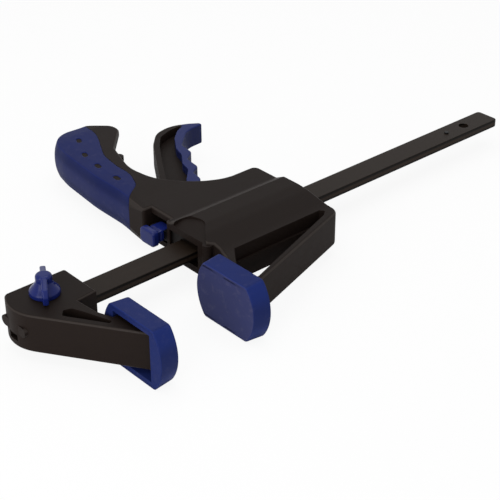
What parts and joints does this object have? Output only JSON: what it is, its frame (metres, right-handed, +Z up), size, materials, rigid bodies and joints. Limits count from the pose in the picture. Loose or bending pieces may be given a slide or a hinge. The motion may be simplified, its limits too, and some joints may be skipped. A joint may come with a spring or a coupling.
{
  "type": "quick release bar clamp",
  "caption": "One-handed quick release bar clamp: flat bar, fixed jaw with wing screw, and a sliding pistol-grip head with trigger, release button and soft jaw pads.",
  "frame": {"origin": "centre of the fixed pad's clamping face, on the bar's middle plane", "axes": "+X along the bar from the fixed jaw to the far end, +Y from the pads towards the grip, +Z up when the clamp lies on its side"},
  "size_m": [0.4336, 0.2679, 0.0477],
  "materials": {
    "black_oxide_bar": "black oxide, satin, faintly oiled",
    "zinc_steel": "zinc plated, dull",
    "spring_steel": "oiled spring wire",
    "plate_steel": "blanked, hardened and blackened steel",
    "dark_screw": "black phosphate",
    "black_plastic": "fine spark-eroded texture, matt",
    "blue_soft": "soft moulded elastomer, satin",
    "blue_gloss": "moulded, semi-gloss"
  },
  "bodies": {
    "root": {"bar": "black_oxide_bar", "bar_stop_pin": "dark_screw", "fixed_jaw": "black_plastic", "fixed_jaw_nut": "zinc_steel", "fixed_jaw_pad": "blue_soft"},
    "wing": {"wing_knob": "blue_gloss", "wing_screw_stud": "zinc_steel"},
    "head": {"housing_upper": "black_plastic", "housing_lower": "black_plastic", "housing_screws": "dark_screw", "grip_cover_upper": "blue_soft", "grip_cover_lower": "blue_soft", "moving_jaw_pad": "blue_soft", "trigger_pivot_pin": "zinc_steel", "drive_spring": "spring_steel", "brake_spring": "spring_steel"},
    "trigger": {"trigger_body": "black_plastic", "trigger_grip": "blue_soft"},
    "drive": {"drive_plate_front": "plate_steel", "drive_plate_rear": "plate_steel"},
    "brake": {"brake_plate": "plate_steel", "release_button": "blue_gloss"}
  },
  "joints": [
    {"name": "head_slide", "type": "slide", "parent": "root", "child": "head", "axis": [1, 0, 0], "range_m": [-0.0567, 0.154]},
    {"name": "wing_screw_turn", "type": "hinge", "parent": "root", "child": "wing", "pos_m": [-0.0297, 0.0636, 0], "axis": [0, 0, 1], "continuous": true},
    {"name": "trigger_pivot", "type": "hinge", "parent": "head", "child": "trigger", "pos_m": [0.11, 0.1016, 0], "axis": [0, 0, 1], "range_deg": [0, 15], "stiffness_Nm_per_rad": 1.2, "springref_deg": -6.88},
    {"name": "drive_plates_slide", "type": "slide", "parent": "head", "child": "drive", "axis": [1, 0, 0], "range_m": [0, 0.0059], "deforming": ["drive_spring"]},
    {"name": "brake_release", "type": "hinge", "parent": "head", "child": "brake", "pos_m": [0.088, 0.0491, 0], "axis": [0, 0, -1], "range_deg": [0, 8], "stiffness_Nm_per_rad": 0.9, "springref_deg": -6.88, "deforming": ["brake_spring"]}
  ],
  "couplings": [
    {"joint": "drive_plates_slide", "follows": "trigger_pivot", "m_per_rad": 0.022}
  ]
}
